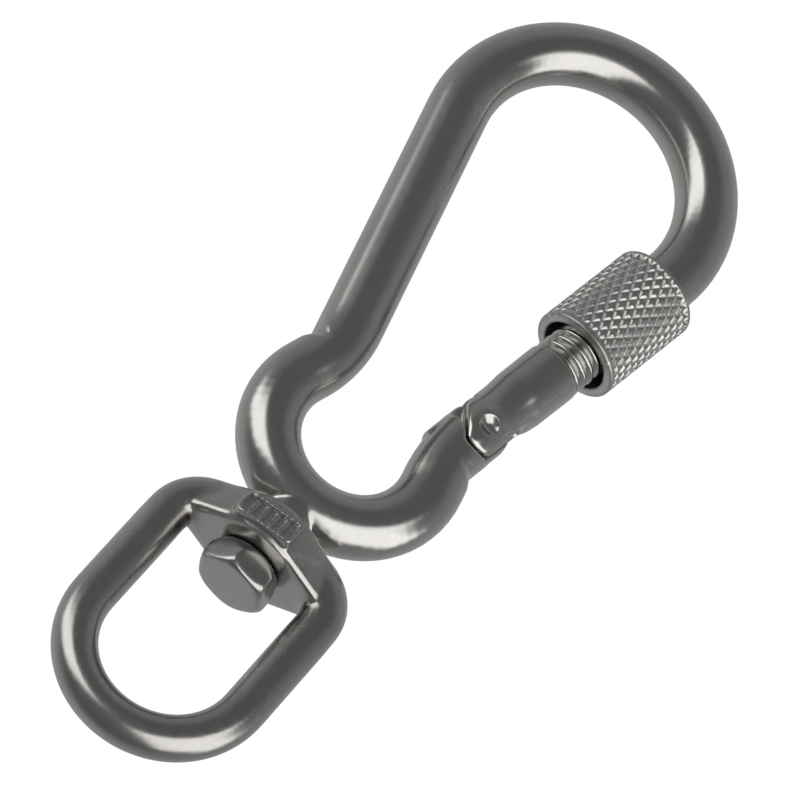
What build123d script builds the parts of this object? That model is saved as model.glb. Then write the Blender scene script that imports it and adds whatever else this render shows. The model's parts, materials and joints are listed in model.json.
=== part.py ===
from build123d import *
from math import cos, radians, sin, sqrt, tan
import os

# Swivel-eye spring snap hook with a screw-lock sleeve. Millimetres, +Z up, hook hanging below the eye.
# Origin: inner face of the eye's crown, where a chain or shackle bears. Hook plane: XZ, gate towards -X.

# --- Eye ------------------------------------------------------------------------------------------
EYE_WIRE_R = 1.775       # radius of the bow wire
EYE_ARM_X = 7.06         # half the spacing of the arms, and the crown's centre-line radius
CROWN_Z = -5.27          # crown centre
SHOULDER_Z = -17.14      # where arm and web centre lines cross
SHOULDER_BEND = 3.15     # bend radius of the shoulder
WEB_MID_Z = -17.80       # bow wire centre line where it runs into the collar
WEB_IN_X = 2.5
EYE_TURN = 6.68          # how far the eye is turned about the swivel, degrees

COLLAR_SEAT_Z = -15.19   # flat face under the bolt head
COLLAR_END_Z = -18.95    # start of the domed face towards the hook
COLLAR_R = 4.75          # widest collar radius, just below the bevelled rim
COLLAR_TAPER = 9.0       # wall slope of collar and lugs, degrees
DOME_TOP_Z = -19.15
DOME_TOP_R = 2.45
LUG_X = 5.00             # lugs that carry the collar out to the shoulders
LUG_R = 2.05
LUG_END_X = 4.20         # the lugs draw in towards the dome, inside the bow wire
LUG_END_R = 1.50
COLLAR_RIM = 0.43        # bevelled rim round the seat face
COLLAR_BEVEL = 0.25      # how far the bevel steps in

PANEL_W, PANEL_H = 5.11, 2.32    # raised size panel on the front of the collar
PANEL_Z = -16.72
PANEL_TURN = 5.7                 # the panel sits a little round the collar, degrees
PANEL_FACE_Y = -4.85
PANEL_RIM = 0.32
PANEL_SUNK = 0.22
PANEL_DEPTH = 2.0                # plate thickness, most of it sunk in the collar
PANEL_CORNER = 0.4
PANEL_BARS = 4                   # plain raised bars inside the rim
PANEL_BAR_W = 0.3
PANEL_BAR_H = 1.232
PANEL_BAR_LIFT = 0.05            # bars stand this far off the bottom of the window

# --- Swivel bolt ----------------------------------------------------------------------------------
SHANK_R = 1.50
SWIVEL_PLAY = 0.05       # running clearance, radial and axial
HEX_FLATS = 5.65
HEX_TOP_Z = -12.60
HEX_CORNER_R = 3.24
HEX_SEAT_R = 2.75
HEX_CROWN_R = 2.70
HEX_CROWN_LIP = 0.2      # width and height of the small bevel round the crown
HEX_CROWN_STEP = 0.14
HEX_CROWN_DROP = 0.50    # height of the crown's chamfer at the corners
HEX_SEAT_RISE = 0.95     # height of the chamfer at the seat
HEX_TURN = 46.5
SHANK_END_Z = -23.60
NECK_R = 2.30            # boss on the hook that carries the collar's dome
NECK_Z = -19.25

# --- Hook bar -------------------------------------------------------------------------------------
BAR_R = 2.50             # nominal 5 mm bar
LOBE_Z = -28.684         # centre of the round lobe below the swivel
LOBE_R = 6.775           # centre-line radius of the lobe
SPINE_LEAN, SPINE_OUT, SPINE_BEND = 13.94, 4.119, 9.84
GATE_LEAN, GATE_OUT, GATE_BEND = 8.94, 5.035, 14.29
BOWL_R = 10.78           # centre-line radius of the hook's bowl

# --- Hinge (positions along the gate from the pivot, then outward from the pivot) --------------------
PIVOT_ALONG = 8.75       # pivot, measured along the gate line from the lobe centre
PIVOT_OUT = 0.40         # pivot, outward of the gate's centre line
TANG_T = 1.80
TANG_R = 2.10
CAM_R = 1.85             # round cam lobe that pushes the plunger back as the gate opens
CAM_THROW = 1.20
TANG_TRIM_R = 2.45
PIN_PLAY = 0.03
RIVET_R = 0.90
DIMPLE_R, DIMPLE_DEEP = 0.70, 0.35
SHOULDER_R = 2.36
EAR_R = 2.20
EAR_SLOT = 2.00
EAR_SLOT_END = 3.25

# --- Gate ----------------------------------------------------------------------------------------
GATE_R = 2.50
WAIST_R = 2.36
PLAIN_END = 8.60
THREAD_START = 9.00
THREAD_END = 17.40
THREAD_PITCH = 0.80
THREAD_CREST_R = 2.42
THREAD_ROOT_R = 2.05
PRONG_END = 20.15
FORK_SLOT = 2.20
FORK_START = 17.60
BORE_R = 0.95
BORE_END = 12.40

# --- Plunger and gate spring --------------------------------------------------------------------------
PLUNGER_FACE = 2.75
PLUNGER_HEAD_END = 4.60
PLUNGER_HEAD_R = 0.90
STEM_R = 0.45
STEM_END = 7.00
SPRING_WIRE_R = 0.15
SPRING_COIL_R = 0.70
SPRING_START = 4.62
SPRING_TURNS = 12

# --- Latch at the nose ---------------------------------------------------------------------------------
NOSE_START = 20.40       # the full round bar starts here
TONGUE_T = 2.00
TONGUE_TRIM_R = 2.30
LATCH_PIN_R = 0.50
LATCH_ALONG = 19.20
LATCH_OUT = -0.30        # from the gate's centre line
LATCH_PLAY = 0.08

# --- Screw-lock sleeve ----------------------------------------------------------------------------------
SLEEVE_START, SLEEVE_END = 11.05, 20.35
SLEEVE_R = 3.86
SLEEVE_FACE_R = 3.67
SLEEVE_MOUTH_R = 3.03
SLEEVE_NUT_START, SLEEVE_NUT_END = 15.45, 17.60
SLEEVE_NUT_R = 2.48
SLEEVE_NOSE_R = 3.18


def lean_frame(angle, side):
    """Unit vectors along a leg (downwards) and outward from the hook opening."""
    along = Vector(side * sin(radians(angle)), 0, -cos(radians(angle)))
    outward = Vector(side * cos(radians(angle)), 0, sin(radians(angle)))
    return along, outward


def bend_points(along, outward, offset, bend):
    """Centre and tangent points of the reverse bend between the lobe and a leg."""
    run = sqrt((LOBE_R + bend) ** 2 - (offset + bend) ** 2)
    centre = LOBE + outward * (offset + bend) + along * run
    on_lobe = LOBE + (centre - LOBE) * (LOBE_R / (LOBE_R + bend))
    on_leg = LOBE + outward * offset + along * run
    return centre, on_lobe, on_leg


def minor_arc(centre, start, end):
    """Short arc between two points about a centre."""
    toward = ((start + end) * 0.5 - centre).normalized()
    return ThreePointArc(start, centre + toward * (start - centre).length, end)


LOBE = Vector(0, 0, LOBE_Z)
SPINE_U, SPINE_N = lean_frame(SPINE_LEAN, 1)
GATE_U, GATE_N = lean_frame(GATE_LEAN, -1)
PIVOT = LOBE + GATE_N * (GATE_OUT + PIVOT_OUT) + GATE_U * PIVOT_ALONG
# Hinge frame: x along the gate to the nose, y outward, z across the hook. The gate's centre line is y = AXIS.
HINGE = Plane(origin=PIVOT, x_dir=GATE_U, z_dir=(0, 1, 0)).location
AXIS = -PIVOT_OUT


def turned(points):
    """Solid of revolution about the gate's centre line from (along, radius) points."""
    outline = Polyline([(s, AXIS + r) for s, r in points], close=True)
    return revolve(make_face(outline), axis=Axis((0, AXIS, 0), (1, 0, 0)))


def prism(points, thick):
    """Plate across the hook, from a straight-sided outline in the hinge frame."""
    return extrude(make_face(Polyline(points, close=True)), amount=thick / 2, both=True)


def rod(along, out, radius, length):
    """Round bar across the hook at a point of the hinge frame."""
    return Pos(along, out, 0) * Cylinder(radius, length)


def lens(z, collar_r, lug_x, lug_r):
    """Section of the collar and its two lugs at height z."""
    lugs = Pos(lug_x, 0) * Circle(lug_r) + Pos(-lug_x, 0) * Circle(lug_r)
    return Pos(0, 0, z) * make_hull((Circle(collar_r) + lugs).edges())


def make_eye():
    arm_top = Vector(EYE_ARM_X, 0, CROWN_Z)
    corner = Vector(EYE_ARM_X, 0, SHOULDER_Z)
    inner = Vector(WEB_IN_X, 0, WEB_MID_Z)
    up = (arm_top - corner).normalized()
    across = (inner - corner).normalized()
    half = up.get_angle(across) / 2
    reach = SHOULDER_BEND / sin(radians(half)) * cos(radians(half))
    bend_mid = corner + (up + across).normalized() * (SHOULDER_BEND / sin(radians(half)) - SHOULDER_BEND)
    right = [inner, corner + across * reach, bend_mid, corner + up * reach, arm_top]
    left = [Vector(-p.X, 0, p.Z) for p in right]
    bow = Wire([
        Line(right[0], right[1]),
        ThreePointArc(right[1], right[2], right[3]),
        Line(right[3], right[4]),
        ThreePointArc(right[4], Vector(0, 0, CROWN_Z + EYE_ARM_X), left[4]),
        Line(left[4], left[3]),
        ThreePointArc(left[3], left[2], left[1]),
        Line(left[1], left[0]),
    ])
    wire = sweep(Plane(origin=right[0], z_dir=across * -1) * Circle(EYE_WIRE_R), path=bow)
    height = COLLAR_SEAT_Z - COLLAR_END_Z
    narrowing = (height - COLLAR_RIM) * tan(radians(COLLAR_TAPER))
    end_r = COLLAR_R - narrowing
    seat_face = lens(COLLAR_SEAT_Z, COLLAR_R - COLLAR_BEVEL, LUG_X, LUG_R - COLLAR_BEVEL)
    widest = lens(COLLAR_SEAT_Z - COLLAR_RIM, COLLAR_R, LUG_X, LUG_R)
    end_face = lens(COLLAR_END_Z, end_r, LUG_END_X, LUG_END_R)
    web = loft([seat_face, widest], ruled=True) + loft([widest, end_face], ruled=True)
    dome = Pos(0, 0, (COLLAR_END_Z + DOME_TOP_Z) / 2) * Cone(DOME_TOP_R, end_r, COLLAR_END_Z - DOME_TOP_Z)
    plate = Box(PANEL_W, PANEL_DEPTH, PANEL_H)
    front = -PANEL_DEPTH / 2
    window = Box(PANEL_W - 2 * PANEL_RIM, 2 * PANEL_SUNK, PANEL_H - 2 * PANEL_RIM)
    panel = fillet(plate.edges().filter_by(Axis.Y), PANEL_CORNER) - Pos(0, front, 0) * window
    step = (PANEL_W - 2 * PANEL_RIM) / (PANEL_BARS + 1)
    for number in range(PANEL_BARS):
        x = (number - (PANEL_BARS - 1) / 2) * step
        bar = Box(PANEL_BAR_W, PANEL_SUNK, PANEL_BAR_H)
        panel += Pos(x, front + PANEL_SUNK / 2 + PANEL_BAR_LIFT, 0) * bar
    panel = Pos(0, PANEL_FACE_Y - front, PANEL_Z) * Rot(COLLAR_TAPER, 0, 0) * panel
    panel = Rot(0, 0, PANEL_TURN) * panel
    bore = Pos(0, 0, (COLLAR_SEAT_Z + DOME_TOP_Z) / 2) * Cylinder(SHANK_R + SWIVEL_PLAY, 8)
    return Rot(0, 0, EYE_TURN) * (wire + web + dome + panel - bore)


def make_bolt():
    seat = COLLAR_SEAT_Z + SWIVEL_PLAY
    prism_height = HEX_TOP_Z - seat
    hexagon = RegularPolygon(HEX_FLATS / 2, 6, major_radius=False, rotation=HEX_TURN)
    head = Pos(0, 0, seat) * extrude(hexagon, amount=prism_height)
    outline = Polyline([
        (0, seat), (HEX_SEAT_R, seat), (HEX_CORNER_R, seat + HEX_SEAT_RISE),
        (HEX_CORNER_R, HEX_TOP_Z - HEX_CROWN_DROP),
        (HEX_CROWN_R + HEX_CROWN_LIP, HEX_TOP_Z - HEX_CROWN_STEP), (HEX_CROWN_R, HEX_TOP_Z), (0, HEX_TOP_Z),
    ], close=True)
    blank = revolve(Plane.XZ * make_face(outline), axis=Axis.Z)
    shank = Pos(0, 0, (seat + SHANK_END_Z) / 2) * Cylinder(SHANK_R, seat - SHANK_END_Z)
    return (head & blank) + shank


def crossing_notch(along, outward, offset):
    """Groove where the outside of the lobe runs into the outside of a leg."""
    crossing = LOBE + outward * offset + along * sqrt(LOBE_R ** 2 - offset ** 2)
    rise = offset + BAR_R
    run = sqrt((LOBE_R + BAR_R) ** 2 - rise ** 2)
    root = LOBE + outward * rise + along * run
    tangent = (outward * run - along * rise).normalized()
    radial = root - crossing
    across = Vector(-radial.Z, 0, radial.X)
    wedge = make_face(Polyline(root, root + along * 2.6, root + tangent * 2.6, close=True))
    return revolve(wedge, axis=Axis(crossing, across))


def make_tang():
    """Flat tang with its cam, in the hinge frame."""
    cam = CAM_THROW * cos(radians(45))
    plate = rod(0, 0, TANG_R, TANG_T) + rod(cam, -cam, CAM_R, TANG_T)
    plate += prism([(-3.6, -2.9), (0, -2.9), (0, 2.1), (-3.6, 2.1)], TANG_T)
    return plate & turned([(-5, 0), (5, 0), (5, TANG_TRIM_R), (-5, TANG_TRIM_R)])


def make_tongue():
    """Flat tongue at the nose, notched for the latch pin, in the hinge frame."""
    notch_r = LATCH_PIN_R + LATCH_PLAY
    plate = prism([
        (18.0, AXIS + 0.35), (18.5, AXIS + 0.78), (19.0, AXIS + 1.26), (19.5, AXIS + 1.80),
        (20.0, AXIS + 2.4),
        (21.2, AXIS + 2.4), (21.2, AXIS - 2.4), (18.0, AXIS - 2.4),
    ], TONGUE_T)
    notch = rod(LATCH_ALONG, AXIS + LATCH_OUT, notch_r, 5) + prism([
        (LATCH_ALONG + notch_r, AXIS + LATCH_OUT), (LATCH_ALONG + notch_r, AXIS - 3),
        (LATCH_ALONG - notch_r - 0.28, AXIS - 3), (LATCH_ALONG - notch_r, AXIS + LATCH_OUT),
    ], 5)
    return (plate & turned([(17, 0), (22, 0), (22, TONGUE_TRIM_R), (17, TONGUE_TRIM_R)])) - notch


def make_hook():
    spine_c, spine_a, spine_b = bend_points(SPINE_U, SPINE_N, SPINE_OUT, SPINE_BEND)
    gate_c, gate_a, gate_b = bend_points(GATE_U, GATE_N, GATE_OUT, GATE_BEND)
    lean = sin(radians(SPINE_LEAN + GATE_LEAN))
    a = SPINE_OUT - BOWL_R
    b = GATE_OUT - BOWL_R
    bowl = LOBE + Vector((a * GATE_N.Z - b * SPINE_N.Z) / lean, 0, (b * SPINE_N.X - a * GATE_N.X) / lean)
    bar_line = Wire([
        minor_arc(gate_c, gate_b, gate_a),
        ThreePointArc(gate_a, LOBE + Vector(0, 0, LOBE_R), spine_a),
        minor_arc(spine_c, spine_a, spine_b),
        Line(spine_b, bowl + SPINE_N * BOWL_R),
        ThreePointArc(bowl + SPINE_N * BOWL_R, bowl + Vector(0, 0, -BOWL_R), bowl + GATE_N * BOWL_R),
        Line(bowl + GATE_N * BOWL_R, PIVOT + GATE_N * AXIS + GATE_U * NOSE_START),
    ])
    body = sweep(Plane(origin=gate_b, z_dir=GATE_U * -1) * Circle(BAR_R), path=bar_line)
    body -= crossing_notch(SPINE_U, SPINE_N, SPINE_OUT)
    body -= crossing_notch(GATE_U, GATE_N, GATE_OUT)
    body += Pos(0, 0, (NECK_Z + LOBE_Z + LOBE_R) / 2) * Cylinder(NECK_R, NECK_Z - LOBE_Z - LOBE_R)
    body -= Pos(0, 0, SHANK_END_Z / 2) * Cylinder(SHANK_R, -SHANK_END_Z)
    # Shoulder that the gate's ears turn against.
    side = SHOULDER_R * cos(radians(45))
    edge = sqrt(SHOULDER_R ** 2 - 0.3 ** 2)
    back = ThreePointArc((0, SHOULDER_R), (-side, side), (-edge, -0.3))
    rest = Polyline([
        (-edge, -0.3), (-1.75, -0.95), (-1.3, -1.8), (-1.05, -3.2), (-1.05, -4), (4, -4), (4, 4), (0, 4),
        (0, SHOULDER_R),
    ])
    body -= HINGE * extrude(make_face(back + rest), amount=4, both=True)
    body += HINGE * make_tang()
    body += HINGE * make_tongue()
    return body - HINGE * rod(0, 0, RIVET_R + PIN_PLAY, 8)


def make_gate():
    waist = ThreePointArc((0.8, AXIS + GATE_R), (2.6, AXIS + WAIST_R), (4.6, AXIS + GATE_R))
    rim = [(4.6, GATE_R), (PLAIN_END, GATE_R), (THREAD_START, THREAD_ROOT_R + 0.1)]
    turns = int((THREAD_END - THREAD_START) / THREAD_PITCH)
    for number in range(turns):
        s = THREAD_START + 0.08 + number * THREAD_PITCH
        rim += [(s + 0.28, THREAD_CREST_R), (s + 0.42, THREAD_CREST_R)]
        rim += [(s + 0.66, THREAD_ROOT_R), (s + 0.72, THREAD_ROOT_R)]
    rim += [(FORK_START - 0.1, THREAD_CREST_R), (PRONG_END - 0.3, THREAD_CREST_R)]
    rim += [(PRONG_END, THREAD_CREST_R - 0.3)]
    rim += [(PRONG_END, 0), (-3, 0), (-3, GATE_R), (0.8, GATE_R)]
    outline = make_face(waist + Polyline([(s, AXIS + r) for s, r in rim]))
    bar = revolve(outline, axis=Axis((0, AXIS, 0), (1, 0, 0)))
    side = EAR_R * cos(radians(45))
    edge = sqrt(EAR_R ** 2 - 0.3 ** 2)
    back = ThreePointArc((0, EAR_R), (-side, side), (-edge, -0.3))
    rest = Polyline([
        (-edge, -0.3), (-0.05, -2.27), (0.6, -2.87), (0.6, -4), (22, -4), (22, 4), (0, 4), (0, EAR_R),
    ])
    bar &= extrude(make_face(back + rest), amount=4, both=True)
    # The slot for the tang closes in below the cam, so that little of it shows from inside the hook.
    bar -= prism([
        (-4, 4), (EAR_SLOT_END, 4), (EAR_SLOT_END, -1.2), (2.75, -1.75), (2.35, -2.2),
        (1.75, -2.65), (1.5, -4), (-4, -4),
    ], EAR_SLOT)
    bar -= prism([(FORK_START, 4), (FORK_START, -4), (PRONG_END + 1, -4), (PRONG_END + 1, 4)], FORK_SLOT)
    bar -= turned([(0, 0), (BORE_END, 0), (BORE_END, BORE_R), (0, BORE_R)])
    bar -= rod(0, 0, RIVET_R, 8)
    bar -= rod(LATCH_ALONG, AXIS + LATCH_OUT, LATCH_PIN_R, 8)
    return HINGE * bar


def make_rivet():
    cheeks = turned([(-3, 0), (3, 0), (3, GATE_R), (-3, GATE_R)])
    rivet = rod(0, 0, RIVET_R, 6) & cheeks
    face = sqrt(GATE_R ** 2 - PIVOT_OUT ** 2)
    ball = (DIMPLE_R ** 2 + DIMPLE_DEEP ** 2) / (2 * DIMPLE_DEEP)
    for end in (1, -1):
        rivet -= Pos(0, 0, end * (face - DIMPLE_DEEP + ball)) * Sphere(ball)
    return HINGE * rivet


def make_latch_pin():
    trim = turned([(18, 0), (20, 0), (20, THREAD_CREST_R), (18, THREAD_CREST_R)])
    return HINGE * (rod(LATCH_ALONG, AXIS + LATCH_OUT, LATCH_PIN_R, 6) & trim)


def make_plunger():
    return HINGE * turned([
        (PLUNGER_FACE, 0), (PLUNGER_FACE, PLUNGER_HEAD_R - 0.1), (PLUNGER_FACE + 0.1, PLUNGER_HEAD_R),
        (PLUNGER_HEAD_END, PLUNGER_HEAD_R), (PLUNGER_HEAD_END, STEM_R), (STEM_END - 0.1, STEM_R),
        (STEM_END, STEM_R - 0.1), (STEM_END, 0),
    ])


def make_spring():
    height = BORE_END - SPRING_START - 2 * SPRING_WIRE_R
    helix = Helix(height / SPRING_TURNS, height, SPRING_COIL_R)
    coil = sweep(Plane(origin=helix @ 0, z_dir=helix % 0) * Circle(SPRING_WIRE_R), path=helix, is_frenet=True)
    return HINGE * Pos(SPRING_START + SPRING_WIRE_R, AXIS, 0) * Rot(0, 90, 0) * coil


def make_sleeve():
    return HINGE * turned([
        (SLEEVE_START, SLEEVE_MOUTH_R), (SLEEVE_START, SLEEVE_FACE_R), (SLEEVE_START + 0.08, SLEEVE_R - 0.06),
        (SLEEVE_START + 0.24, SLEEVE_R), (SLEEVE_END - 0.24, SLEEVE_R), (SLEEVE_END - 0.08, SLEEVE_R - 0.06),
        (SLEEVE_END, SLEEVE_FACE_R), (SLEEVE_END, SLEEVE_NOSE_R), (SLEEVE_NUT_END, SLEEVE_NOSE_R),
        (SLEEVE_NUT_END, SLEEVE_NUT_R), (SLEEVE_NUT_START, SLEEVE_NUT_R), (SLEEVE_NUT_START, SLEEVE_MOUTH_R),
    ])


PARTS = {
    "swivel_eye": make_eye,
    "swivel_bolt": make_bolt,
    "hook_body": make_hook,
    "gate": make_gate,
    "hinge_rivet": make_rivet,
    "gate_spring": make_spring,
    "spring_plunger": make_plunger,
    "latch_pin": make_latch_pin,
    "lock_sleeve": make_sleeve,
}

os.makedirs("parts", exist_ok=True)
for name, make in PARTS.items():
    part = make()
    part.label = name
    export_step(part, f"parts/{name}.step")
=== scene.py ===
import json
import math

import bmesh
import bpy
import numpy as np
from mathutils import Matrix, Vector
from mathutils.bvhtree import BVHTree


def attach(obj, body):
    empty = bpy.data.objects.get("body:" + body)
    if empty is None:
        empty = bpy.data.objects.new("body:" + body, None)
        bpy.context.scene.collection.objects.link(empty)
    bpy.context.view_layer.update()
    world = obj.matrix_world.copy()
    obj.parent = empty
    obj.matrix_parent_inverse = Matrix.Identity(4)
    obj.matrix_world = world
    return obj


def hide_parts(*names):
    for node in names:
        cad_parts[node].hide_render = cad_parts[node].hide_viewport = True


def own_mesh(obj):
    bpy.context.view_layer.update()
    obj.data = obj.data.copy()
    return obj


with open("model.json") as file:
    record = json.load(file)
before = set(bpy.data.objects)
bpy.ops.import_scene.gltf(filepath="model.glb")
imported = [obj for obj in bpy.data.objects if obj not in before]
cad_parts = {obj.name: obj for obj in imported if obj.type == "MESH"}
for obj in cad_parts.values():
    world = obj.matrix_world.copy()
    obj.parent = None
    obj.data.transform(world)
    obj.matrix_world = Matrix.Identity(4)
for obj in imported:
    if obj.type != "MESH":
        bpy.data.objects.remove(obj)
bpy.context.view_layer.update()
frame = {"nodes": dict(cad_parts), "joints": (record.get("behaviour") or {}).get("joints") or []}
scene = bpy.context.scene
JOINTS = {joint["name"]: joint for joint in frame["joints"]}

# Lengths are in millimetres. Places handed to Blender are in metres, in the row frame.
MM = 0.001
GATE_AXIS_IN = 0.40          # the gate's centre line, inward of the hinge pivot
THREAD_FROM, THREAD_TO = 8.75, 17.45
THREAD_PITCH = 0.80
THREAD_CREST_R, THREAD_ROOT_R = 2.42, 2.06
THREAD_PHASE = 0.25          # from the thread's start to its first crest
THREAD_ROUND = 0.75          # below 1, crests are rounder than roots
THREAD_PLAY = 0.12           # between the sleeve's thread and the gate's
SLEEVE_FROM, SLEEVE_TO = 11.05, 20.35
SLEEVE_R = 3.86
SLEEVE_FACE_R = 3.66
SLEEVE_MOUTH_R = 3.03
SLEEVE_NUT_FROM, SLEEVE_NUT_TO = 15.45, 17.60
SLEEVE_NUT_R = 2.50
SLEEVE_NOSE_R = 3.18
SLEEVE_BEVEL, SLEEVE_EDGE = 0.20, 0.06
SLEEVE_FACE_ROWS, SLEEVE_BEVEL_ROWS, SLEEVE_BODY_ROWS, SLEEVE_NUT_ROWS = 7, 6, 156, 30
KNURL_TEETH = 28             # grooves of each hand round the sleeve
KNURL_PER_MM = 0.667         # groove crossings per millimetre along the sleeve
KNURL_DEPTH = 0.16
KNURL_LAND = 0.38            # share of each cell left flat between grooves
KNURL_MARGIN = 0.34          # smooth ring at each end
KNURL_FADE = 0.25            # over which the grooves run out
KNURL_COLUMNS = 16           # mesh columns to each groove
PANEL_AT = (0.0, -4.9, -16.7)      # raised panel, kept crisp when the forging is softened
PANEL_REACH = (2.9, 0.75, 1.5)     # half sizes of the box held round it
COLLAR_TOP, COLLAR_BLEND, WIRE_FREEDOM = -12.5, 1.5, 0.4
RIVET_CLEAR = 1.35           # round the rivet, the gate's cheeks are left flat
RIVET_R = 0.90
HEAD_R = 1.22                # peened head, feathered onto the cheek
HEAD_PROUD, HEAD_SINK = 0.012, 0.03
HEAD_FEATHER = 8             # power by which the head's rim turns down
HEAD_COLUMNS, HEAD_ROWS = 96, 44
HOLE_WEAR = 0.12             # width of the worn edge of the hole that the head covers
SHANK_END = 1.8              # the shank's full width starts this far from the middle
DIMPLE_R, DIMPLE_DEEP, DIMPLE_LIP = 0.85, 0.44, 0.05
CHEEK_R = 2.50
HINGE_END = 7.0              # beyond this the gate keeps its crisp thread and forked nose

# Camera: a long lens from the front, above, and rolled over.
CAMERA_AT = Vector((-0.00949, -0.39532, 0.19382))
CAMERA_RIGHT = Vector((-0.7525, -0.3160, -0.5778))
CAMERA_UP = Vector((0.6583, -0.3876, -0.6453))
LENS_MM, SENSOR_MM = 270.0, 36.0
# Studio: directions in the row frame, and brightness of its parts.
STUDIO_ACROSS = (-0.7525, -0.3160, -0.5778)
STUDIO_UP = (0.6583, -0.3876, -0.6453)
STUDIO_FRONT = (-0.0201, -0.8660, 0.4997)
PANELS = ((0.02, 0.84, -0.88, 0.05), (-0.78, -0.13, 0.41, 0.87))   # across from, to, up from, to
PANEL_SOFT = 0.06
PANEL_GLOW = 1.80
ROOM_FRONT, ROOM_DARK, ROOM_SIDE, ROOM_BACK = 0.19, 0.165, 0.31, 0.50
RIM_GLOW = 0.12
RIM_EDGE, RIM_SOFT = -0.45, 0.35
HORIZON, HORIZON_SOFT = -0.05, 0.10
PAST_ALL = 2.0               # beyond any direction's component



def gate_frame():
    """Matrix from (along, outward, across) about the gate's centre line to the row frame."""
    along = Vector(JOINTS["plunger_slide"]["axis"]).normalized()
    across = Vector((0.0, 1.0, 0.0))
    out = across.cross(along)
    origin = Vector(JOINTS["gate_hinge"]["pos_m"]) - out * GATE_AXIS_IN * MM
    matrix = Matrix((along, out, across)).transposed().to_4x4()
    matrix.translation = origin
    return matrix


GATE = gate_frame()


def get_points(mesh):
    points = np.zeros(len(mesh.vertices) * 3)
    mesh.vertices.foreach_get("co", points)
    return points.reshape(-1, 3)


def set_points(mesh, points):
    mesh.vertices.foreach_set("co", points.ravel())
    mesh.update()


def add_piece(name, mesh, body, node, material):
    """Shows a mesh in place of a CAD node, riding on its body."""
    piece = bpy.data.objects.new(name, mesh)
    scene.collection.objects.link(piece)
    mesh.materials.clear()
    mesh.materials.append(material)
    mesh.polygons.foreach_set("use_smooth", [True] * len(mesh.polygons))
    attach(piece, body)
    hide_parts(node)
    return piece


def worn_copy(node, voxel, rounds):
    """Even, softly rounded mesh of a CAD node, as forging and tumbling leave it."""
    work = bmesh.new()
    work.from_mesh(frame["nodes"][node].data)
    bmesh.ops.scale(work, vec=(1 / MM, 1 / MM, 1 / MM), verts=work.verts)
    bmesh.ops.remove_doubles(work, verts=work.verts, dist=0.0005)
    mesh = bpy.data.meshes.new(node + "_work")
    work.to_mesh(mesh)
    work.free()
    helper = bpy.data.objects.new(node + "_work", mesh)
    scene.collection.objects.link(helper)
    remesh = helper.modifiers.new("even", "REMESH")
    remesh.mode = "VOXEL"
    remesh.voxel_size = voxel
    polish = helper.modifiers.new("polish", "SMOOTH")
    polish.factor = 0.5
    polish.iterations = rounds
    bpy.context.view_layer.update()
    graph = bpy.context.evaluated_depsgraph_get()
    result = bpy.data.meshes.new_from_object(helper.evaluated_get(graph))
    bpy.data.objects.remove(helper)
    bpy.data.meshes.remove(mesh)
    result.transform(Matrix.Scale(MM, 4))
    result.name = node + "_worn"
    return result


def soften(mesh, rounds, freedom):
    """Relaxes a mesh; freedom gives each point 0 (held) to 1 (free)."""
    points = get_points(mesh)
    pairs = np.empty(len(mesh.edges) * 2, dtype=np.int32)
    mesh.edges.foreach_get("vertices", pairs)
    first, second = pairs[0::2], pairs[1::2]
    count = len(points)
    share = np.maximum(np.bincount(first, minlength=count) + np.bincount(second, minlength=count), 1)
    step = 0.5 * freedom(points / MM)[:, None]
    for _ in range(rounds):
        mean = np.empty_like(points)
        for axis in range(3):
            total = np.bincount(first, points[second, axis], count)
            total += np.bincount(second, points[first, axis], count)
            mean[:, axis] = total / share
        points += (mean - points) * step
    set_points(mesh, points)
    return mesh


def everywhere(points):
    return np.ones(len(points))


def away_from_panel(points):
    """Free on the collar but at its raised panel, and partly free on the eye's wire."""
    gap = np.abs(points - np.array(PANEL_AT)) - np.array(PANEL_REACH)
    collar = np.clip((COLLAR_TOP - points[:, 2]) / COLLAR_BLEND, WIRE_FREEDOM, 1)
    return np.clip(gap.max(axis=1) / 0.5, 0, 1) * collar


def away_from_rivet(points):
    """Free on the hinge half of the gate but round the rivet, and nearly held towards its nose."""
    pivot = np.array(JOINTS["gate_hinge"]["pos_m"]) / MM
    gap = np.hypot(points[:, 0] - pivot[0], points[:, 2] - pivot[2]) - RIVET_CLEAR
    along = (points - pivot) @ np.array(Vector(JOINTS["plunger_slide"]["axis"]).normalized())
    return np.clip(gap / 0.4, 0, 1) * np.clip(HINGE_END - along, 0.08, 1)


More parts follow.
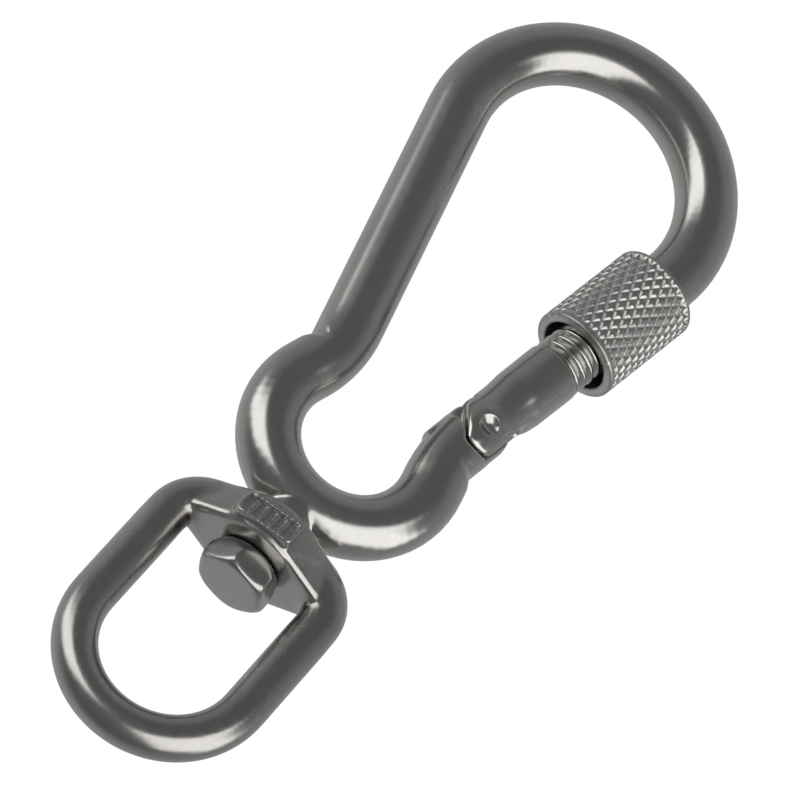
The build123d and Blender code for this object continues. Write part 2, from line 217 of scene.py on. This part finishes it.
def rivet_mesh(gate):
    """Rivet through both cheeks, its dimpled ends peened out onto them."""
    to_gate = np.array(GATE.inverted())
    points = (get_points(gate) @ to_gate[:3, :3].T + to_gate[:3, 3]) / MM
    tree = BVHTree.FromPolygons(points.tolist(), [tuple(face.vertices) for face in gate.polygons])
    columns = HEAD_COLUMNS
    steps = np.linspace(0.02, HEAD_R, HEAD_ROWS)

    def head_point(radius, angle, end):
        x = radius * math.cos(angle)
        y = GATE_AXIS_IN + radius * math.sin(angle)
        height = math.sqrt(CHEEK_R ** 2 - y ** 2)
        if radius > RIVET_R + HOLE_WEAR:
            hit = tree.ray_cast(Vector((x, y, 4.0 * end)), Vector((0, 0, -end)))[0]
            height = abs(hit.z) if hit else height
        bowl = DIMPLE_DEEP * (1 - (radius / DIMPLE_R) ** 2)
        height -= 0.5 * (bowl + math.hypot(bowl, DIMPLE_LIP))
        height += HEAD_PROUD - (HEAD_PROUD + HEAD_SINK) * (radius / HEAD_R) ** HEAD_FEATHER
        return (x, y, height * end)

    angles = [column * 2 * math.pi / columns for column in range(columns)]
    rings = [[head_point(radius, angle, 1) for angle in angles] for radius in steps]
    for end in (1, -1):
        rings.append([(RIVET_R * math.cos(angle), GATE_AXIS_IN + RIVET_R * math.sin(angle), SHANK_END * end)
                      for angle in angles])
    rings += [[head_point(radius, angle, -1) for angle in angles] for radius in steps[::-1]]
    count = len(rings)
    local = [point for ring in rings for point in ring]
    local += [head_point(0.0, 0.0, 1), head_point(0.0, 0.0, -1)]
    faces = []
    for row in range(count - 1):
        for column in range(columns):
            a, b = row * columns + column, row * columns + (column + 1) % columns
            faces.append((a, a + columns, b + columns, b))
    for column in range(columns):
        after = (column + 1) % columns
        faces.append((count * columns, column, after))
        faces.append((count * columns + 1, (count - 1) * columns + after, (count - 1) * columns + column))
    mesh = bpy.data.meshes.new("rivet_peened")
    mesh.from_pydata([tuple(GATE @ (Vector(point) * MM)) for point in local], [], faces)
    work = bmesh.new()
    work.from_mesh(mesh)
    bmesh.ops.recalc_face_normals(work, faces=work.faces)
    work.to_mesh(mesh)
    work.free()
    return mesh


def thread_radius(along, angle, root, crest):
    """Radius of a rounded right-hand thread, in millimetres."""
    turn = (along - THREAD_FROM - THREAD_PHASE) / THREAD_PITCH - angle / (2 * math.pi)
    wave = 0.5 + 0.5 * np.cos(2 * math.pi * turn)
    return root + (crest - root) * wave ** THREAD_ROUND


def cut_thread(mesh):
    """Turns the ring grooves of the gate's CAD shape into one running thread."""
    to_gate = np.array(GATE.inverted())
    points = get_points(mesh)
    local = (points @ to_gate[:3, :3].T + to_gate[:3, 3]) / MM
    radius = np.hypot(local[:, 1], local[:, 2])
    angle = np.arctan2(local[:, 2], local[:, 1])
    on_thread = (local[:, 0] > THREAD_FROM) & (local[:, 0] < THREAD_TO) & (radius > THREAD_ROOT_R - 0.35)
    wanted = thread_radius(local[:, 0], angle, THREAD_ROOT_R, THREAD_CREST_R)
    scale = np.where(on_thread, wanted / np.maximum(radius, 0.1), 1.0)
    local[:, 1] *= scale
    local[:, 2] *= scale
    from_gate = np.array(GATE)
    set_points(mesh, (local * MM) @ from_gate[:3, :3].T + from_gate[:3, 3])


def knurl_depth(along, angle):
    """Depth of the crossed V grooves at a place on the sleeve, in millimetres."""
    depth = np.zeros(np.broadcast(along, angle).shape)
    for hand in (1, -1):
        cell = (KNURL_TEETH * angle / (2 * math.pi) + hand * KNURL_PER_MM * along) % 1.0
        slope = np.clip((np.abs(cell - 0.5) * 2 - KNURL_LAND) / (1 - KNURL_LAND), 0, 1)
        depth = np.maximum(depth, KNURL_DEPTH * slope * slope * (3 - 2 * slope))
    from_end = np.minimum(along - SLEEVE_FROM, SLEEVE_TO - along) - KNURL_MARGIN
    return depth * np.clip(from_end / KNURL_FADE, 0, 1)


def bevel_step(step):
    """How far in from the end, and out from the face, a row of the rounded end bevel lies."""
    bend = step / SLEEVE_BEVEL_ROWS * math.pi / 2
    return SLEEVE_BEVEL * (1 - math.cos(bend)), SLEEVE_BEVEL * math.sin(bend)


def sleeve_profile():
    """Rows of the sleeve's section as (along, radius, kind), going round the wall once."""
    face_radii = np.linspace(SLEEVE_MOUTH_R + SLEEVE_EDGE, SLEEVE_FACE_R, SLEEVE_FACE_ROWS)
    rows = [(SLEEVE_FROM, radius, "plain") for radius in face_radii]
    for step in range(1, SLEEVE_BEVEL_ROWS + 1):
        inset, rise = bevel_step(step)
        rows.append((SLEEVE_FROM + inset, SLEEVE_FACE_R + rise, "plain"))
    for step in range(1, SLEEVE_BODY_ROWS):
        share = step / SLEEVE_BODY_ROWS
        along = SLEEVE_FROM + SLEEVE_BEVEL + (SLEEVE_TO - SLEEVE_FROM - 2 * SLEEVE_BEVEL) * share
        rows.append((along, SLEEVE_R, "knurl"))
    for step in range(SLEEVE_BEVEL_ROWS, -1, -1):
        inset, rise = bevel_step(step)
        rows.append((SLEEVE_TO - inset, SLEEVE_FACE_R + rise, "plain"))
    rows.append((SLEEVE_TO, SLEEVE_NOSE_R + SLEEVE_EDGE, "plain"))
    rows.append((SLEEVE_TO - SLEEVE_EDGE, SLEEVE_NOSE_R, "plain"))
    rows.append((SLEEVE_NUT_TO, SLEEVE_NOSE_R, "plain"))
    rows.append((SLEEVE_NUT_TO, SLEEVE_NUT_R + 0.1, "plain"))
    for step in range(SLEEVE_NUT_ROWS + 1):
        share = step / SLEEVE_NUT_ROWS
        rows.append((SLEEVE_NUT_TO + (SLEEVE_NUT_FROM - SLEEVE_NUT_TO) * share, SLEEVE_NUT_R, "thread"))
    rows.append((SLEEVE_NUT_FROM, SLEEVE_MOUTH_R, "plain"))
    rows.append((SLEEVE_FROM + SLEEVE_EDGE, SLEEVE_MOUTH_R, "plain"))
    return rows


def sleeve_mesh():
    """Knurled, internally threaded sleeve as one closed wall."""
    columns = KNURL_TEETH * KNURL_COLUMNS
    angle = np.arange(columns) * 2 * math.pi / columns
    rings = []
    for along, radius, kind in sleeve_profile():
        radii = np.full(columns, radius)
        if kind == "knurl":
            radii = radius - knurl_depth(np.full(columns, along), angle)
        if kind == "thread":
            radii = thread_radius(along, angle, THREAD_ROOT_R + THREAD_PLAY, THREAD_CREST_R + THREAD_PLAY)
        ring = np.stack([np.full(columns, along), radii * np.cos(angle), radii * np.sin(angle)], axis=1)
        rings.append(ring)
    matrix = np.array(GATE)
    points = (np.concatenate(rings) * MM) @ matrix[:3, :3].T + matrix[:3, 3]
    count = len(rings)
    faces = []
    for row in range(count):
        for column in range(columns):
            a = row * columns + column
            b = row * columns + (column + 1) % columns
            below = ((row + 1) % count) * columns
            faces.append((a, below + column, below + (column + 1) % columns, b))
    mesh = bpy.data.meshes.new("lock_sleeve_knurled")
    mesh.from_pydata(points.tolist(), [], faces)
    mesh.update()
    return mesh


# --- Materials ------------------------------------------------------------------------------------------
def node_material(name):
    material = bpy.data.materials.new(name)
    material.use_nodes = True
    tree = material.node_tree
    tree.nodes.clear()
    return material, tree.nodes, tree.links


def noise(nodes, links, place, scale, detail, rough):
    texture = nodes.new("ShaderNodeTexNoise")
    texture.inputs["Scale"].default_value = scale
    texture.inputs["Detail"].default_value = detail
    texture.inputs["Roughness"].default_value = rough
    links.new(place.outputs["Object"], texture.inputs["Vector"])
    return texture


def ramp(nodes, links, source, low, high, low_value, high_value):
    """Maps a 0..1 signal between two greys or colours."""
    mix = nodes.new("ShaderNodeValToRGB")
    mix.color_ramp.elements[0].position = low
    mix.color_ramp.elements[1].position = high
    mix.color_ramp.elements[0].color = (*low_value, 1)
    mix.color_ramp.elements[1].color = (*high_value, 1)
    links.new(source, mix.inputs["Fac"])
    return mix


def grey(value):
    return (value, value, value)


def tumbled_steel(name, colour, roughness, crevice_shade, wave=0.10, pits=0.05):
    """Satin stainless steel: cloudy polish, fine pits, and painted shade that darkens the base colour in
    hollows and creases.
    """
    material, nodes, links = node_material(name)
    output = nodes.new("ShaderNodeOutputMaterial")
    steel = nodes.new("ShaderNodeBsdfPrincipled")
    steel.inputs["Metallic"].default_value = 1.0
    links.new(steel.outputs["BSDF"], output.inputs["Surface"])
    place = nodes.new("ShaderNodeTexCoord")
    cloud = noise(nodes, links, place, 160.0, 4.0, 0.55)
    fine = noise(nodes, links, place, 2600.0, 3.0, 0.6)
    broad = noise(nodes, links, place, 90.0, 1.0, 0.5)
    tint = ramp(nodes, links, cloud.outputs["Fac"], 0.30, 0.72, [c * 0.90 for c in colour], colour)
    # Painted shade: the base colour is darkened where Pointiness finds hollows and creases.
    surface = nodes.new("ShaderNodeNewGeometry")
    reach = ramp(nodes, links, surface.outputs["Pointiness"], 0.44, 0.52, grey(crevice_shade), grey(1.0))
    shade = nodes.new("ShaderNodeMix")
    shade.data_type = "RGBA"
    shade.blend_type = "MULTIPLY"
    shade.inputs["Factor"].default_value = 1.0
    links.new(tint.outputs["Color"], shade.inputs["A"])
    links.new(reach.outputs["Color"], shade.inputs["B"])
    links.new(shade.outputs["Result"], steel.inputs["Base Color"])
    rough = ramp(nodes, links, fine.outputs["Fac"], 0.25, 0.80, grey(roughness * 0.85), grey(roughness * 1.2))
    links.new(rough.outputs["Color"], steel.inputs["Roughness"])
    swell = nodes.new("ShaderNodeBump")
    swell.inputs["Strength"].default_value = wave
    swell.inputs["Distance"].default_value = 0.0006
    links.new(broad.outputs["Fac"], swell.inputs["Height"])
    pit = nodes.new("ShaderNodeBump")
    pit.inputs["Strength"].default_value = pits
    pit.inputs["Distance"].default_value = 0.00006
    links.new(fine.outputs["Fac"], pit.inputs["Height"])
    links.new(swell.outputs["Normal"], pit.inputs["Normal"])
    links.new(pit.outputs["Normal"], steel.inputs["Normal"])
    return material


# The fourth argument of each steel sets its painted shade in hollows and creases; lower is darker.
BAR_STEEL = tumbled_steel("bar_steel", (0.60, 0.585, 0.565), 0.20, 0.75)
FORGED_STEEL = tumbled_steel("forged_steel", (0.58, 0.565, 0.545), 0.24, 0.45, wave=0.2, pits=0.10)
BOLT_STEEL = tumbled_steel("bolt_steel", (0.54, 0.53, 0.515), 0.24, 0.85, wave=0.15, pits=0.04)
GATE_STEEL = tumbled_steel("gate_steel", (0.66, 0.645, 0.62), 0.20, 0.55)
KNURL_STEEL = tumbled_steel("knurl_steel", (0.80, 0.785, 0.76), 0.36, 0.30, wave=0.05, pits=0.08)
SPRING_STEEL = tumbled_steel("spring_steel", (0.50, 0.50, 0.49), 0.30, 0.8)
# Painted shade: near-black steel for the sleeve's bore, standing in for the shade inside it.
BORE_PAINTED_SHADE = tumbled_steel("bore_painted_shade", (0.10, 0.10, 0.10), 0.45, 0.3)


# --- Pieces -----------------------------------------------------------------------------------------------
def paint_bore_shade(mesh):
    """Painted shade: near-black steel on the inside of the sleeve, where shade falls."""
    mesh.materials.append(BORE_PAINTED_SHADE)
    to_gate = GATE.inverted()
    for face in mesh.polygons:
        place = to_gate @ face.center
        radius = math.hypot(place.y, place.z) / MM
        inside = SLEEVE_FROM + 0.05 < place.x / MM < SLEEVE_TO - 0.05
        if inside and radius < SLEEVE_NOSE_R + 0.02:
            face.material_index = 1


def add_spring():
    """The closing spring, a copy of its CAD mesh riding on the gate; its end towards the nose is found but
    not moved.
    """
    mesh = frame["nodes"]["gate_spring"].data.copy()
    piece = add_piece("closing_spring", mesh, "gate", "gate_spring", SPRING_STEEL)
    along = Vector(JOINTS["plunger_slide"]["axis"]).normalized()
    reach = get_points(mesh) @ np.array(along)
    nose_end = get_points(mesh)[reach.argmax()]
    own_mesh(piece)


def build_pieces():
    eye = soften(worn_copy("swivel_eye", voxel=0.10, rounds=3), 80, away_from_panel)
    add_piece("eye_forging", eye, "eye", "swivel_eye", FORGED_STEEL)
    hook = worn_copy("hook_body", voxel=0.14, rounds=6)
    add_piece("hook_bar", hook, "hook", "hook_body", BAR_STEEL)
    bolt = soften(worn_copy("swivel_bolt", voxel=0.07, rounds=4), 45, everywhere)
    add_piece("hex_bolt", bolt, "hook", "swivel_bolt", BOLT_STEEL)
    gate = soften(worn_copy("gate", voxel=0.08, rounds=1), 60, away_from_rivet)
    rivet = rivet_mesh(gate)
    cut_thread(gate)
    add_piece("threaded_gate", gate, "gate", "gate", GATE_STEEL)
    add_piece("dimpled_rivet", rivet, "gate", "hinge_rivet", GATE_STEEL)
    sleeve = sleeve_mesh()
    add_piece("knurled_sleeve", sleeve, "sleeve", "lock_sleeve", KNURL_STEEL)
    paint_bore_shade(sleeve)
    add_spring()
    for node in ("spring_plunger", "latch_pin"):
        mesh = frame["nodes"][node].data
        mesh.materials.clear()
        mesh.materials.append(BOLT_STEEL)


# --- Studio -------------------------------------------------------------------------------------------------
def add_camera():
    camera = bpy.data.objects.new("camera", bpy.data.cameras.new("camera"))
    camera.data.lens = LENS_MM
    camera.data.sensor_width = SENSOR_MM
    camera.data.clip_start = 0.01
    back = CAMERA_RIGHT.cross(CAMERA_UP)
    turn = Matrix((CAMERA_RIGHT, CAMERA_UP, back)).transposed().to_4x4()
    camera.matrix_world = Matrix.Translation(CAMERA_AT) @ turn
    scene.collection.objects.link(camera)
    scene.camera = camera


def add_floor():
    mesh = bpy.data.meshes.new("floor")
    size, height = 6.0, -0.30
    corners = [(-size, -size, height), (size, -size, height), (size, size, height), (-size, size, height)]
    mesh.from_pydata(corners, [], [(0, 1, 2, 3)])
    floor = bpy.data.objects.new("floor", mesh)
    scene.collection.objects.link(floor)
    material, nodes, links = node_material("pale_floor")
    output = nodes.new("ShaderNodeOutputMaterial")
    glow = nodes.new("ShaderNodeEmission")
    glow.inputs["Color"].default_value = (1.0, 1.0, 1.0, 1.0)
    glow.inputs["Strength"].default_value = 1.0
    links.new(glow.outputs["Emission"], output.inputs["Surface"])
    mesh.materials.append(material)
    floor.visible_glossy = False
    floor.visible_diffuse = False


def between(nodes, links, source, low, high, soft):
    """1 where source lies between low and high, fading out over soft on either side."""
    rise = nodes.new("ShaderNodeMapRange")
    rise.interpolation_type = "SMOOTHSTEP"
    rise.inputs["From Min"].default_value = low - soft
    rise.inputs["From Max"].default_value = low + soft
    fall = nodes.new("ShaderNodeMapRange")
    fall.interpolation_type = "SMOOTHSTEP"
    fall.inputs["From Min"].default_value = high + soft
    fall.inputs["From Max"].default_value = high - soft
    both = nodes.new("ShaderNodeMath")
    both.operation = "MULTIPLY"
    links.new(source, rise.inputs["Value"])
    links.new(source, fall.inputs["Value"])
    links.new(rise.outputs["Result"], both.inputs[0])
    links.new(fall.outputs["Result"], both.inputs[1])
    return both.outputs["Value"]


def combine(nodes, links, operation, first, second):
    node = nodes.new("ShaderNodeMath")
    node.operation = operation
    for socket, value in zip(node.inputs, (first, second)):
        if isinstance(value, float):
            socket.default_value = value
        else:
            links.new(value, socket)
    return node.outputs["Value"]


def add_world():
    """A dim room with two soft panels, fixed in the row frame; white where it is seen directly."""
    world = bpy.data.worlds.new("studio")
    scene.world = world
    world.use_nodes = True
    nodes, links = world.node_tree.nodes, world.node_tree.links
    nodes.clear()
    output = nodes.new("ShaderNodeOutputWorld")
    room = nodes.new("ShaderNodeBackground")
    white = nodes.new("ShaderNodeBackground")
    white.inputs["Color"].default_value = (1, 1, 1, 1)
    seen = nodes.new("ShaderNodeLightPath")
    pick = nodes.new("ShaderNodeMixShader")
    where = nodes.new("ShaderNodeTexCoord")
    parts = []
    for axis in (STUDIO_ACROSS, STUDIO_UP, STUDIO_FRONT):
        along = nodes.new("ShaderNodeVectorMath")
        along.operation = "DOT_PRODUCT"
        along.inputs[1].default_value = axis
        links.new(where.outputs["Generated"], along.inputs[0])
        parts.append(along.outputs["Value"])
    across, up, front = parts
    ahead = between(nodes, links, front, HORIZON, PAST_ALL, HORIZON_SOFT)
    shade = nodes.new("ShaderNodeValToRGB")
    shade.color_ramp.interpolation = "EASE"
    stops = shade.color_ramp.elements
    stops[0].position, stops[0].color = 0.0, (*grey(ROOM_BACK), 1)
    stops[1].position, stops[1].color = 1.0, (*grey(ROOM_FRONT), 1)
    for place, value in ((0.5, ROOM_SIDE), (0.72, ROOM_DARK)):
        stop = stops.new(place)
        stop.color = (*grey(value), 1)
    half = nodes.new("ShaderNodeMapRange")
    half.inputs["From Min"].default_value = -1.0
    links.new(front, half.inputs["Value"])
    links.new(half.outputs["Result"], shade.inputs["Fac"])
    strength = shade.outputs["Color"]
    for low, high, bottom, top in PANELS:
        wide = between(nodes, links, across, low, high, PANEL_SOFT)
        tall = between(nodes, links, up, bottom, top, PANEL_SOFT)
        shape = combine(nodes, links, "MULTIPLY", combine(nodes, links, "MULTIPLY", wide, tall), ahead)
        glow = combine(nodes, links, "MULTIPLY", shape, PANEL_GLOW)
        strength = combine(nodes, links, "ADD", strength, glow)
    behind = combine(nodes, links, "SUBTRACT", 1.0, ahead)
    left = between(nodes, links, across, -PAST_ALL, RIM_EDGE, RIM_SOFT)
    rim = combine(nodes, links, "MULTIPLY", combine(nodes, links, "MULTIPLY", left, behind), RIM_GLOW)
    strength = combine(nodes, links, "ADD", strength, rim)
    links.new(strength, room.inputs["Strength"])
    links.new(seen.outputs["Is Camera Ray"], pick.inputs["Fac"])
    links.new(room.outputs["Background"], pick.inputs[1])
    links.new(white.outputs["Background"], pick.inputs[2])
    links.new(pick.outputs["Shader"], output.inputs["Surface"])


def add_studio():
    add_camera()
    add_floor()
    add_world()
    scene.view_settings.view_transform = "Standard"


build_pieces()
add_studio()
